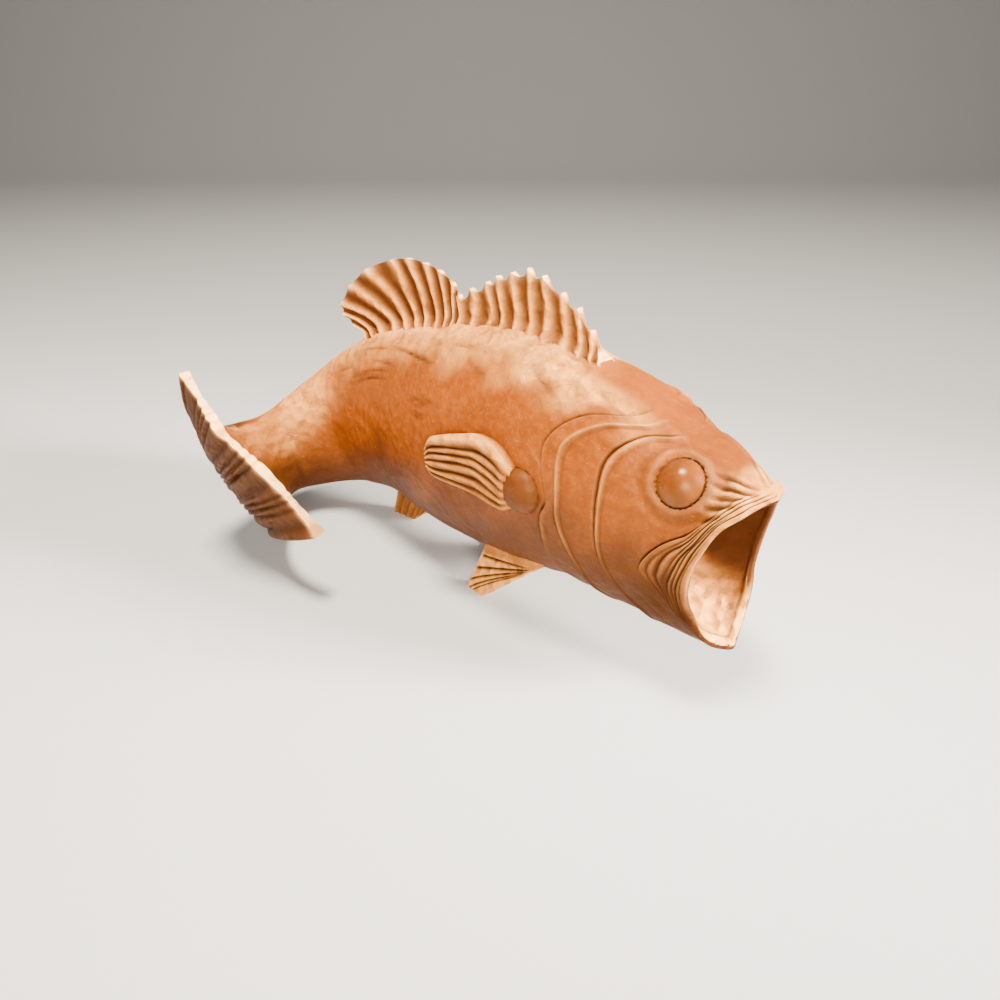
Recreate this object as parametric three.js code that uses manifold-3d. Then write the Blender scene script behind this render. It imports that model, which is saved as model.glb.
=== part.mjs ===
// Carved bass figure: one solid of reddish brown wood, a large-mouthed fish bent sideways in a C,
// mouth wide open, standing on its two pelvic fins and its anal fin. Millimetres, +Z up, +X towards
// the head. The hollow of the bend, the fish's right side, faces -Y.

import * as THREE from 'three';
import Module from 'manifold-3d';
import { mergeVertices } from 'three/addons/utils/BufferGeometryUtils.js';

// Driving dimensions. A station is a cut across the body, numbered from the tail root (0) to the
// lower lip (10). Angles go round a cut from the back (0) down the right side (90) to the belly (180).
const bodyStations = [
  { name: 'tail root', x: -80.6, y: 40.2, z: 30.7, halfHeight: 21.0, halfWidth: 8.6 },
  { name: 'narrowest tail', x: -67.3, y: 51.2, z: 32.2, halfHeight: 21.8, halfWidth: 11.3 },
  { name: 'tail stem', x: -43.3, y: 55.1, z: 40.3, halfHeight: 28.3, halfWidth: 16.9 },
  { name: 'vent', x: -16.9, y: 41.3, z: 50.4, halfHeight: 36.1, halfWidth: 23.4 },
  { name: 'belly', x: 9.8, y: 17.3, z: 54.2, halfHeight: 41.7, halfWidth: 28.0 },
  { name: 'breast', x: 32.3, y: -5.2, z: 57.9, halfHeight: 43.2, halfWidth: 27.6 },
  { name: 'gill cover', x: 52.9, y: -28.6, z: 59.2, halfHeight: 38.8, halfWidth: 24.8 },
  { name: 'cheek', x: 72.5, y: -45.7, z: 53.1, halfHeight: 32.0, halfWidth: 22.4 },
  { name: 'eye', x: 84.0, y: -57.2, z: 49.5, halfHeight: 30.4, halfWidth: 19.4 },
  { name: 'upper lip', x: 90.3, y: -64.6, z: 47.4, halfHeight: 28.8, halfWidth: 18.0 },
  { name: 'lower lip', x: 98.4, y: -73.1, z: 45.2, halfHeight: 28.9, halfWidth: 17.2 },
];
const tailTaper = 0.8; // how far the stem shrinks under the root of the tail fin
const sectionFullness = 0.92; // 1 is a true ellipse, less is fuller
const browFullness = 0.15; // the top of the head is flatter, with a soft ridge over each eye
const browStations = [5.2, 9.4];
const chinPoint = 0.66; // the lower lip comes to a blunt point
const chinStations = [8.6, 10];
const columns = 44; // facets round the body
const knobFacets = 16; // facets round an eye, a lid or a pad

// Carved lines on the head: [angle, station] pairs, the same on both sides.
const gillEdge = [[0, 6.5], [25, 6.39], [44, 6.08], [63, 5.9], [76, 5.92], [89, 6.0], [97, 5.94],
  [110, 5.95], [128, 6.07], [149, 6.55], [180, 6.9]];
const coverEdge = [[0, 6.6], [25, 6.49], [44, 6.18], [63, 6.0], [84, 6.06], [95, 6.12], [106, 6.27],
  [120, 6.5], [136, 6.72], [149, 6.95], [180, 7.2]];
const cheekEdge = [[0, 6.95], [16, 6.81], [32, 6.56], [48, 6.42], [60, 6.38], [72, 6.42], [86, 6.51],
  [101, 6.68], [114, 6.94], [129, 7.33], [145, 7.75], [180, 8.0]];
const jawBoneEdge = [[0, 8.84], [22, 8.71], [45, 8.4], [64, 8.05], [79, 7.6], [92, 7.38], [98, 7.5],
  [106, 8.1], [114, 8.75], [122, 9.2], [150, 9.6], [180, 9.75]];
const lipEdge = [[0, 9.36], [31, 9.08], [51, 8.8], [69, 8.71], [83, 8.68], [96, 8.78], [106, 8.95],
  [117, 9.2], [135, 9.47], [155, 9.7], [180, 9.88]];
const gillStep = 0.8; // height of the gill flap's lower part over the body
const flapAngles = [85, 105]; // above the first the flap and the gill cover are one
const coverStep = 1.0;
const coverEnd = 0.5; // height left where the gill cover meets the cheek
const cheekStep = 1.1;
const jawBoneStep = 1.3;
const jawFoldDepth = 1.1;
const jawFolds = 3.5; // folds between the cheek and the lip
const snoutFoldShare = 0.3; // the folds are shallower on the snout
const snoutAngles = [10, 45];
const backFade = [8, 30]; // angles over which the steps die out at the back and at the throat
const throatFade = [140, 172];

// Mouth
const lipThickness = 1.7;
const chinThickness = 4.6;
const chinAngles = [120, 165]; // the lip thickens from the first to the second
const throatStation = 7.05; // where the mouth hollow ends
const throatWall = 9.0; // how much the hollow has narrowed there, before its rounded end
const throatEnd = 0.8; // share of the hollow's depth where the end starts to round
const throatRounding = 3.6;

// Eye
const eyeAngles = { right: 40, left: 54 }; // the left eye sits lower on its side of the head
const eyeStation = 7.38;
const eyeRadius = 8.0;
const eyeRise = 3.9;
const eyeTilt = 0.05; // the eyes look a little forwards
const lidRadius = 9.8;
const lidRise = 0.8;
const lidRoundness = 0.25; // 1 is a ball, less is a flatter cushion
const knobDepth = 5.2; // a knob reaches this deep under the skin, less than the mouth's wall is thick

// Fins on the middle line: outline points are [station, height over the skin].
const finRoot = 4; // how deep a fin's root is sunk into the body
const spinyTips = [[4.02, 9.6], [4.26, 11.7], [4.52, 13.8], [4.67, 15.8], [4.86, 17.3], [5.07, 19.4],
  [5.28, 18.3], [5.5, 14.9], [5.67, 12.3], [5.8, 7.4], [5.9, 1.5]];
const spinyNotch = 2.2; // depth of the hollow between two spines
const spinyLean = 0.1; // stations that a spine's tip leans back
const softOutline = [[2.62, 6], [2.53, 12], [2.54, 16.4], [2.7, 20.9], [2.92, 24.2], [3.14, 25],
  [3.31, 24.5], [3.53, 21.9], [3.75, 18.3], [3.94, 13.8], [4.06, 9.2]];
const softRoot = [2.78, 4.1];
const softRays = 10;
const dorsalHalfThickness = 2.3;
const finEdgeHalfThickness = 1.1;
const rayRelief = 0.55;
const analRoot = [2.5, 3.45];
const analFoot = [2.26, 2.86];
const analHalfThickness = 3.2;
const analThinning = 0.8; // from root to foot
const analRays = 5;
const analLift = 3.5; // how high the front end of the fin's edge stands over the ground
const underGround = 2; // feet are made this much too long and cut off level with the ground

// Tail fin: its sheet runs from the root inside the tail stem over a bulge on the fish's left to the
// free edge. Each line is given at its upper end, at its middle or notch, and at its lower end.
const tailRootLine = [[-70.5, 49.4, 50.6], [-71.5, 49.0, 31.6], [-69.5, 48.2, 12.4]];
const tailBulgeLine = [[-90.8, 23.6, 53.0], [-84.6, 17.0, 36.6], [-68.5, 6.2, 17.8]];
const tailEdgeLine = [[-92.1, 7.7, 81.5], [-76.4, -8.8, 65.2], [-43.5, -20.9, 30.9]];
const tailEdgeBow = [1.1, 0, 1.2]; // how far the lower lobe's edge bows out half-way
const tailNotch = 0.38; // where along the free edge the notch lies
const tailRootHalfThickness = 10.2;
const tailEdgeHalfThickness = 1.7;
const tailEndThinning = 0.96; // the root is round in section, the free edge is even
const tailRays = 15;
const tailScallop = 1.2;

// Side fins: [station, angle] on the skin.
const pectoral = { rise: 4.4, sink: 2, groove: 1.1, edgeRounding: 1.2, tipRounding: 1.6 };
// Outline of a pectoral fin from tip to root: [station, upper angle, lower angle].
const pectoralOutline = [[4.33, 83, 93], [4.42, 79, 95.5], [4.66, 76.5, 96.5], [4.9, 74.5, 97],
  [5.15, 72.5, 98], [5.36, 73.5, 100], [5.52, 77, 100.5], [5.66, 83, 98]];
const pectoralPad = { station: 5.7, angle: 90.5, radius: 7.8, rise: 5.3, roundness: 0.7 };
const pectoralRays = 6;
const pelvic = { rearStation: 4.7, frontStation: 5.95, angle: 148, sink: 5 };
const pelvicFoot = { x: 11.2, y: -10.8, halfLength: 4.2, halfThickness: 2.2 };
const pelvicRootHalfThickness = 3.6;
const pelvicRays = 4;

const seamWidth = 0.02; // points of the joined solid closer than this become one
const wood = { color: 0x9a5530, roughness: 0.55, metalness: 0 };

const up = new THREE.Vector3(0, 0, 1);
const wasm = await Module();
wasm.setup();

// Curves through the stations: one for the middle line, one for half height and half width.
const lastStation = bodyStations.length - 1;
const spine = new THREE.CatmullRomCurve3(
  bodyStations.map((cut) => new THREE.Vector3(cut.x, cut.y, cut.z)), false, 'catmullrom', 0.5);
const girth = new THREE.CatmullRomCurve3(
  bodyStations.map((cut) => new THREE.Vector3(cut.halfHeight, cut.halfWidth, 0)), false, 'catmullrom', 0.5);

// The cut at a station: its centre, its axes and its half sizes.
function cutAt(station) {
  const t = THREE.MathUtils.clamp(station / lastStation, 0, 1);
  const centre = spine.getPoint(t);
  const ahead = spine.getTangent(t);
  const back = up.clone().addScaledVector(ahead, -ahead.z).normalize();
  const right = new THREE.Vector3().crossVectors(ahead, back);
  const taper = THREE.MathUtils.lerp(tailTaper, 1, THREE.MathUtils.smoothstep(station, 0, 1));
  const size = girth.getPoint(t).multiplyScalar(taper);
  return { centre, ahead, back, right, halfHeight: size.x, halfWidth: size.y };
}

function powered(value, power) {
  return Math.sign(value) * Math.abs(value) ** power;
}

// Rises from 0 to 1 and falls back to 0 between two stations.
function bump(station, from, to) {
  const part = THREE.MathUtils.clamp((station - from) / (to - from), 0, 1);
  return Math.sin(part * Math.PI) ** 2;
}

// A point of the body's skin, pushed out by rise; an angle is in degrees.
function skin(station, angle, rise = 0) {
  const cut = cutAt(station);
  const turn = THREE.MathUtils.degToRad(angle);
  const brow = Math.max(Math.cos(turn), 0) * bump(station, ...browStations);
  const fullness = sectionFullness - browFullness * brow;
  const below = Math.max(-Math.cos(turn), 0) ** 4;
  const chin = chinPoint * THREE.MathUtils.smoothstep(station, ...chinStations) * below;
  const high = powered(Math.cos(turn), fullness);
  const wide = powered(Math.sin(turn), fullness) * (1 - chin);
  return cut.centre.clone()
    .addScaledVector(cut.back, (cut.halfHeight + rise) * high)
    .addScaledVector(cut.right, (cut.halfWidth + rise) * wide);
}

// Reads a carved line at an angle.
function lineAt(pairs, angle) {
  const size = Math.abs(angle);
  const next = pairs.findIndex((pair) => pair[0] >= size);
  if (next <= 0) return pairs[0][1];
  const [fromAngle, fromValue] = pairs[next - 1];
  const [toAngle, toValue] = pairs[next];
  return THREE.MathUtils.mapLinear(size, fromAngle, toAngle, fromValue, toValue);
}

// 1 on the side of the head, fading to 0 at the back and at the throat.
function sideFade(angle) {
  const size = Math.abs(angle);
  const throat = THREE.MathUtils.smoothstep(size, ...throatFade);
  return THREE.MathUtils.smoothstep(size, ...backFade) * (1 - throat);
}

// A closed solid from rings of points: each ring goes round once, and the ends close on one point.
function solidOfRings(firstPoint, rings, lastPoint) {
  const around = rings[0].length;
  const points = [firstPoint, ...rings.flat(), lastPoint];
  const faces = [];
  const id = (row, k) => 1 + row * around + (k % around);
  for (let k = 0; k < around; k += 1) {
    faces.push(0, id(0, k + 1), id(0, k));
    for (let row = 0; row < rings.length - 1; row += 1) {
      faces.push(id(row, k), id(row, k + 1), id(row + 1, k + 1));
      faces.push(id(row, k), id(row + 1, k + 1), id(row + 1, k));
    }
    faces.push(id(rings.length - 1, k), id(rings.length - 1, k + 1), points.length - 1);
  }
  return toSolid(geometryOf(points, faces));
}

function geometryOf(points, faces) {
  const geometry = new THREE.BufferGeometry();
  geometry.setFromPoints(points);
  geometry.setIndex(faces);
  return geometry;
}

// Turns a closed three.js geometry into a solid for joining and cutting, faces outwards.
function toSolid(source) {
  const geometry = source.clone();
  geometry.deleteAttribute('normal');
  geometry.deleteAttribute('uv');
  const merged = mergeVertices(geometry, 1e-4);
  const vertProperties = new Float32Array(merged.attributes.position.array);
  const triVerts = new Uint32Array(merged.index.array);
  const solid = new wasm.Manifold(new wasm.Mesh({ numProp: 3, vertProperties, triVerts }));
  if (solid.volume() > 0) return solid;
  for (let k = 0; k < triVerts.length; k += 3) {
    [triVerts[k + 1], triVerts[k + 2]] = [triVerts[k + 2], triVerts[k + 1]];
  }
  return new wasm.Manifold(new wasm.Mesh({ numProp: 3, vertProperties, triVerts }));
}

// The bands of the body from tail to lip. Each ends on a carved line and starts with a step.
const bands = [
  { to: gillEdge, rows: 19, rise: () => 0 },
  {
    to: coverEdge,
    rows: 2,
    rise: (part, angle) => {
      const lower = THREE.MathUtils.smoothstep(Math.abs(angle), ...flapAngles);
      return THREE.MathUtils.lerp(coverStep + coverEnd, gillStep, lower);
    },
  },
  { to: cheekEdge, rows: 4, rise: (part) => THREE.MathUtils.lerp(coverStep + coverEnd, coverEnd, part) },
  { to: jawBoneEdge, rows: 7, rise: (part) => cheekStep * (1 - part) },
  {
    to: lipEdge,
    rows: 7,
    rise: (part, angle) => {
      const side = THREE.MathUtils.smoothstep(Math.abs(angle), ...snoutAngles);
      const depth = jawFoldDepth * THREE.MathUtils.lerp(snoutFoldShare, 1, side);
      return jawBoneStep - depth * rayWave(part, jawFolds) ** 3;
    },
  },
];
const stepWidth = 0.03; // of the step at the start of a band, in stations
const firstStation = 0.25; // of the body's skin: the tail fin covers what lies behind it

function bodyRings() {
  const rings = [];
  const angles = Array.from({ length: columns }, (_, k) => (k * 360) / columns - 180);
  bands.forEach((band, order) => {
    for (let row = 0; row < band.rows; row += 1) {
      const part = row / (band.rows - 1);
      rings.push(angles.map((angle) => {
        const from = order === 0 ? firstStation : lineAt(bands[order - 1].to, angle) + stepWidth;
        const station = THREE.MathUtils.lerp(from, lineAt(band.to, angle), part);
        return skin(station, angle, band.rise(part, angle) * sideFade(angle));
      }));
    }
  });
  // The lip's crest, then the walls of the mouth back to the throat.
  const insideRows = 7;
  for (let row = 0; row <= insideRows; row += 1) {
    const part = row / insideRows;
    rings.push(angles.map((angle) => {
      const lip = lineAt(lipEdge, angle);
      const chin = THREE.MathUtils.smoothstep(Math.abs(angle), ...chinAngles);
      const wall = THREE.MathUtils.lerp(lipThickness, chinThickness, chin);
      const station = THREE.MathUtils.lerp(lip, throatStation, part);
      const ending = Math.max(part - throatEnd, 0) / (1 - throatEnd);
      const narrowing = (part ** 2) * throatWall + ending * throatRounding;
      return skin(station, angle, -wall - narrowing);
    }));
  }
  return rings;
}

const body = solidOfRings(skin(0, 0).lerp(skin(0, 180), 0.5), bodyRings(), cutAt(throatStation).centre);

// A fin as a closed plate: middle(u, v) gives a point and the direction across the sheet, half(u, v)
// half its thickness. u runs along the fin, v from root to free edge.
function plate(across, upwards, middle, half) {
  const points = [];
  const faces = [];
  for (const side of [1, -1]) {
    for (let j = 0; j <= upwards; j += 1) {
      for (let i = 0; i <= across; i += 1) {
        const { point, normal } = middle(i / across, j / upwards);
        points.push(point.clone().addScaledVector(normal, side * half(i / across, j / upwards)));
      }
    }
  }
  const layer = (across + 1) * (upwards + 1);
  const id = (i, j, side) => side * layer + j * (across + 1) + i;
  for (let j = 0; j < upwards; j += 1) {
    for (let i = 0; i < across; i += 1) {
      faces.push(id(i, j, 0), id(i + 1, j, 0), id(i + 1, j + 1, 0));
      faces.push(id(i, j, 0), id(i + 1, j + 1, 0), id(i, j + 1, 0));
      faces.push(id(i, j, 1), id(i + 1, j + 1, 1), id(i + 1, j, 1));
      faces.push(id(i, j, 1), id(i, j + 1, 1), id(i + 1, j + 1, 1));
    }
  }
  const rim = [];
  for (let i = 0; i < across; i += 1) rim.push([i, 0]);
  for (let j = 0; j < upwards; j += 1) rim.push([across, j]);
  for (let i = across; i > 0; i -= 1) rim.push([i, upwards]);
  for (let j = upwards; j > 0; j -= 1) rim.push([0, j]);
  rim.forEach(([i, j], k) => {
    const [m, n] = rim[(k + 1) % rim.length];
    faces.push(id(i, j, 0), id(m, n, 1), id(m, n, 0));
    faces.push(id(i, j, 0), id(i, j, 1), id(m, n, 1));
  });
  return toSolid(geometryOf(points, faces));
}

// A point on the middle plane of the fish, height over the back (side 1) or under the belly (side -1).
function overRidge(station, height, side = 1) {
  const cut = cutAt(station);
  const point = cut.centre.clone().addScaledVector(cut.back, side * (cut.halfHeight + height));
  return { point, normal: cut.right };
}

// Ridges along the rays of a fin: a rounded wave, crest on each ray.
function rayWave(u, rays) {
  return Math.abs(Math.sin(u * rays * Math.PI)) ** 0.7;
}

function pairAt(pairs, u) {
  const place = u * (pairs.length - 1);
  const low = Math.min(Math.floor(place), pairs.length - 2);
  const part = place - low;
  return pairs[low].map((value, k) => THREE.MathUtils.lerp(value, pairs[low + 1][k], part));
}

function spinyDorsal() {
  const spines = spinyTips.length - 1;
  return plate(spines * 2, 4, (u, v) => {
    const [station, tipHeight] = pairAt(spinyTips, u);
    const notch = spinyNotch * Math.abs(Math.sin(u * spines * Math.PI)) * Math.min(1, tipHeight / 8);
    const height = THREE.MathUtils.lerp(-finRoot, tipHeight - notch, v);
    return overRidge(station + spinyLean * (1 - v), height);
  }, (u, v) => THREE.MathUtils.lerp(dorsalHalfThickness, finEdgeHalfThickness, v)
    - rayRelief * rayWave(u, spines) * Math.min(1, v * 3));
}

function softDorsal() {
  return plate(softRays * 2, 5, (u, v) => {
    const [station, tipHeight] = pairAt(softOutline, u);
    const root = THREE.MathUtils.lerp(softRoot[0], softRoot[1], u);
    return overRidge(THREE.MathUtils.lerp(root, station, v), THREE.MathUtils.lerp(-finRoot, tipHeight, v));
  }, (u, v) => THREE.MathUtils.lerp(dorsalHalfThickness, finEdgeHalfThickness, v)
    - rayRelief * rayWave(u, softRays) * Math.min(1, v * 3));
}

// The anal fin reaches the ground: its lower edge is cut off at z = 0 further down.
function analFin() {
  return plate(analRays * 2, 3, (u, v) => {
    const root = THREE.MathUtils.lerp(analRoot[0], analRoot[1], u);
    const foot = THREE.MathUtils.lerp(analFoot[0], analFoot[1], u);
    const top = overRidge(root, -finRoot, -1);
    const bottom = overRidge(foot, 0, -1).point;
    bottom.z = -underGround + (underGround + analLift) * THREE.MathUtils.smoothstep(u, 0.55, 1);
    return { point: top.point.lerp(bottom, v), normal: top.normal };
  }, (u, v) => analHalfThickness - rayRelief * rayWave(u, analRays) - analThinning * v);
}

// A point of the curve that starts at first, passes middle half-way and ends at last.
function curveThrough(first, middle, last, t) {
  const control = middle.clone().multiplyScalar(2).addScaledVector(first, -0.5).addScaledVector(last, -0.5);
  return new THREE.QuadraticBezierCurve3(first, control, last).getPoint(t);
}

// The tail fin: a bent sheet with a thick root, rays on both faces and a notched, scalloped edge.
function tailFin() {
  const [rootLine, bulgeLine, edgeLine] = [tailRootLine, tailBulgeLine, tailEdgeLine].map(
    (line) => line.map((place) => new THREE.Vector3(...place)));
  const rearwards = edgeLine[1].clone().sub(bulgeLine[1]).normalize();
  const edgePoint = (u) => {
    const [upper, notch, lower] = edgeLine;
    const part = u < tailNotch ? u / tailNotch : (u - tailNotch) / (1 - tailNotch);
    const point = u < tailNotch ? upper.clone().lerp(notch, part) : notch.clone().lerp(lower, part);
    if (u > tailNotch) point.addScaledVector(new THREE.Vector3(...tailEdgeBow), Math.sin(part * Math.PI));
    return point;
  };
  const sheet = (u, v) => curveThrough(
    curveThrough(...rootLine, u), curveThrough(...bulgeLine, u), edgePoint(u), v);
  return plate(tailRays * 2, 7, (u, v) => {
    const gap = 0.02; // step for measuring the sheet's direction
    const along = sheet(u, Math.min(v + gap, 1)).sub(sheet(u, Math.max(v - gap, 0)));
    const across = sheet(Math.max(u - gap, 0), v).sub(sheet(Math.min(u + gap, 1), v));
    const scallop = tailScallop * (Math.abs(Math.sin(u * tailRays * Math.PI)) - 1) * v ** 4;
    return { point: sheet(u, v).addScaledVector(rearwards, scallop), normal: across.cross(along).normalize() };
  }, (u, v) => {
    const ends = Math.sqrt(1 - tailEndThinning * (2 * u - 1) ** 2 * (1 - v));
    const sheetHalf = THREE.MathUtils.lerp(tailRootHalfThickness, tailEdgeHalfThickness, v ** 0.85);
    return sheetHalf * ends - rayRelief * rayWave(u, tailRays) * THREE.MathUtils.smoothstep(v, 0.4, 0.75);
  });
}

// A pectoral fin lies back along the flank, raised clear of it, over a round pad at its root.
function pectoralFin(side) {
  return plate(12, pectoralRays * 2, (u, v) => {
    const [station, topAngle, bottomAngle] = pairAt(pectoralOutline, 1 - u);
    const angle = side * THREE.MathUtils.lerp(topAngle, bottomAngle, v);
    const outside = skin(station, angle, pectoral.rise);
    const inside = skin(station, angle, -pectoral.sink);
    return { point: outside.clone().lerp(inside, 0.5), normal: outside.sub(inside).normalize() };
  }, (u, v) => {
    const groove = pectoral.groove * rayWave(v, pectoralRays) * THREE.MathUtils.smoothstep(u, 0.15, 0.3);
    const rounding = pectoral.edgeRounding * Math.abs(2 * v - 1) ** 4
      + pectoral.tipRounding * (1 - THREE.MathUtils.smoothstep(u, 0, 0.2));
    return (pectoral.rise + pectoral.sink) / 2 - groove - rounding;
  });
}

// A smooth knob on the skin, used for eyes, lids and the pads of the pectoral fins.
function knob(station, angle, radius, rise, roundness = 1, tilt = 0) {
  const base = skin(station, angle);
  const along = skin(station + 0.1, angle).sub(skin(station - 0.1, angle));
  const round = skin(station, angle + 4).sub(skin(station, angle - 4));
  const out = round.cross(along.clone()).normalize().addScaledVector(along.normalize(), tilt).normalize();
  const geometry = new THREE.SphereGeometry(radius, knobFacets, knobFacets / 2 + 1);
  const half = radius * roundness;
  const buriedShare = Math.min(1, (knobDepth + rise - half) / half);
  geometry.scale(1, 1, roundness);
  const places = geometry.attributes.position;
  for (let i = 0; i < places.count; i += 1) {
    if (places.getZ(i) < 0) places.setZ(i, places.getZ(i) * buriedShare);
  }
  geometry.applyQuaternion(new THREE.Quaternion().setFromUnitVectors(up, out));
  base.addScaledVector(out, rise - half);
  geometry.translate(base.x, base.y, base.z);
  return toSolid(geometry);
}

// A pelvic fin is a leg from the belly down and back to a small foot on the ground.
function pelvicFin(side) {
  const cut = cutAt(5);
  const along = new THREE.Vector3(cut.ahead.x, cut.ahead.y, 0).normalize();
  const outward = new THREE.Vector3(cut.right.x, cut.right.y, 0).normalize().multiplyScalar(side);
  const rightFoot = new THREE.Vector3(pelvicFoot.x, pelvicFoot.y, -underGround);
  const fromCentre = rightFoot.clone().sub(cut.centre);
  const offset = fromCentre.dot(cut.right);
  const foot = rightFoot.clone();
  if (side < 0) foot.addScaledVector(outward, 2 * offset);
  return plate(pelvicRays * 2, 4, (u, v) => {
    const station = THREE.MathUtils.lerp(pelvic.rearStation, pelvic.frontStation, u);
    const top = skin(station, side * pelvic.angle, -pelvic.sink);
    const bottom = foot.clone().addScaledVector(along, pelvicFoot.halfLength * (2 * u - 1));
    return { point: top.lerp(bottom, v), normal: outward };
  }, (u, v) => THREE.MathUtils.lerp(pelvicRootHalfThickness, pelvicFoot.halfThickness, v)
    - rayRelief * rayWave(u, pelvicRays) * (1 - v));
}

// Joins the parts of the figure, then cuts the three feet off level with the ground.
function carvedFigure() {
  let figure = body;
  for (const side of [1, -1]) {
    const angle = side > 0 ? eyeAngles.right : -eyeAngles.left;
    figure = figure.add(knob(eyeStation, angle, lidRadius, lidRise, lidRoundness, eyeTilt));
    figure = figure.add(knob(eyeStation, angle, eyeRadius, eyeRise, 1, eyeTilt));
    figure = figure.add(pectoralFin(side)).add(pelvicFin(side));
    const pad = pectoralPad;
    figure = figure.add(knob(pad.station, side * pad.angle, pad.radius, pad.rise, pad.roundness));
  }
  for (const fin of [spinyDorsal(), softDorsal(), analFin(), tailFin()]) figure = figure.add(fin);
  const ground = new THREE.BoxGeometry(400, 400, 40);
  ground.translate(0, 0, -20);
  return figure.subtract(toSolid(ground));
}

// Welds points closer than seamWidth and leaves out the faces that vanish with them.
function weld(geometry) {
  const welded = mergeVertices(geometry, seamWidth);
  const corners = welded.index.array;
  const kept = new Map();
  for (let k = 0; k < corners.length; k += 3) {
    const face = [corners[k], corners[k + 1], corners[k + 2]];
    if (new Set(face).size === 3) {
      const key = [...face].sort((a, b) => a - b).join();
      if (kept.has(key)) kept.delete(key);
      else kept.set(key, face);
    }
  }
  welded.setIndex([...kept.values()].flat());
  return welded;
}

function meshOf(solid, name) {
  const { vertProperties, triVerts } = solid.getMesh();
  const source = new THREE.BufferGeometry();
  source.setAttribute('position', new THREE.BufferAttribute(new Float32Array(vertProperties), 3));
  source.setIndex(new THREE.BufferAttribute(new Uint32Array(triVerts), 1));
  const geometry = weld(source);
  // The origin lies on the ground under the middle of the figure's outer sizes.
  geometry.computeBoundingBox();
  const middle = geometry.boundingBox.getCenter(new THREE.Vector3());
  geometry.translate(-middle.x, -middle.y, 0);
  geometry.computeVertexNormals();
  const mesh = new THREE.Mesh(geometry, new THREE.MeshStandardMaterial(wood));
  mesh.name = name;
  return mesh;
}

const figureGroup = new THREE.Group();
figureGroup.add(meshOf(carvedFigure(), 'bass_figure'));

export default figureGroup;
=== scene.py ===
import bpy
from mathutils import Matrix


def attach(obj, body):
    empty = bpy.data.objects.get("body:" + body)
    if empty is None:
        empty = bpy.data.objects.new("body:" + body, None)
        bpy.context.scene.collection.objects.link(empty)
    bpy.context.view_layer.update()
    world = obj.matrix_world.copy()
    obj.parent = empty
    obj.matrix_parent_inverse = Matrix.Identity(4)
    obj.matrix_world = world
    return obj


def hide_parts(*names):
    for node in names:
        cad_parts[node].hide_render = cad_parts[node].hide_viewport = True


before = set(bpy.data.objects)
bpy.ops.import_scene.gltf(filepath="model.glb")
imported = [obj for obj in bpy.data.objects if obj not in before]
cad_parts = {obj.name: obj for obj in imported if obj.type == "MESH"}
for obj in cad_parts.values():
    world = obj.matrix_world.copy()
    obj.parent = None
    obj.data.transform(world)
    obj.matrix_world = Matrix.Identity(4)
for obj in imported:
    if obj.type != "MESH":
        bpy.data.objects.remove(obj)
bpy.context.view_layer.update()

import math

import bpy
import numpy as np
from mathutils import Vector
from mathutils.kdtree import KDTree

# All carving is worked out in millimetres in the carver's own frame, then set on the row's origin.
originShift = np.array([-3.558, 2.142, 0.0])


def between(first, last, part):
    return first + (last - first) * part


def easeStep(value, low, high):
    part = np.clip((np.asarray(value, float) - low) / (high - low), 0, 1)
    return part * part * (3 - 2 * part)


def unit(vectors):
    return vectors / np.linalg.norm(vectors, axis=-1, keepdims=True)


# A smooth curve through points; place counts from 0 at the first point.
def throughPoints(points, place):
    points = np.asarray(points, float)
    ends = np.vstack([2 * points[0] - points[1], points, 2 * points[-1] - points[-2]])
    place = np.clip(np.asarray(place, float), 0, len(points) - 1)
    low = np.minimum(place.astype(int), len(points) - 2)
    t = (place - low)[..., None]
    p0, p1, p2, p3 = (ends[low + k] for k in range(4))
    m1, m2 = (p2 - p0) / 2, (p3 - p1) / 2
    return p1 + m1 * t + (3 * (p2 - p1) - 2 * m1 - m2) * t**2 + (2 * (p1 - p2) + m1 + m2) * t**3


# A soft random swell from a few seeded waves, about -1 to 1, with bumps of the given size in mm.
def swell(points, size, seed):
    rng = np.random.default_rng(seed)
    total = np.zeros(points.shape[:-1])
    for _ in range(9):
        direction = rng.normal(size=3)
        direction *= rng.uniform(0.7, 1.5) * 2 * math.pi / (size * 2.2) / np.linalg.norm(direction)
        total += np.sin(points @ direction + rng.uniform(0, 2 * math.pi))
    return total / 4.5


# Shallow scoops left by a gouge, side by side on a surface: 0 in the middle of a scoop, about 1 at its rim.
def scoops(along, around, length, width, seed):
    table = np.random.default_rng(seed).random((64, 64, 2))
    x, y = along / length, around / width
    column, row = np.floor(x).astype(int), np.floor(y).astype(int)
    nearest = np.full(x.shape, 9.0)
    for i in (-1, 0, 1):
        for j in (-1, 0, 1):
            shift = table[(column + i) % 64, (row + j) % 64]
            away = (x - column - i - shift[..., 0]) ** 2 + (y - row - j - shift[..., 1]) ** 2
            nearest = np.minimum(nearest, away)
    return np.minimum(nearest, 1.2)


# Body: cuts from the tail root to the lower lip, x, y, z, half height, half width.
body = {
    "stations": [
        [-80.6, 40.2, 30.7, 21.0, 8.6],
        [-67.3, 51.2, 32.2, 21.8, 11.3],
        [-43.3, 55.1, 40.3, 28.3, 16.9],
        [-16.9, 41.3, 50.4, 36.1, 23.4],
        [9.8, 17.3, 54.2, 41.7, 28.0],
        [32.3, -5.2, 57.9, 43.2, 27.6],
        [52.9, -28.6, 59.2, 38.8, 24.8],
        [72.5, -45.7, 53.1, 32.0, 22.4],
        [84.0, -57.2, 49.5, 30.4, 19.4],
        [90.3, -64.6, 47.4, 28.8, 18.0],
        [98.4, -73.1, 45.2, 28.9, 17.2],
    ],
    "tailTaper": 0.8,
    "fullness": 0.92,
    "browFullness": 0.15,
    "browStations": (5.2, 9.4),
    "chinPoint": 0.66,
    "chinStations": (8.6, 10),
    "columns": 200,
}


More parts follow.
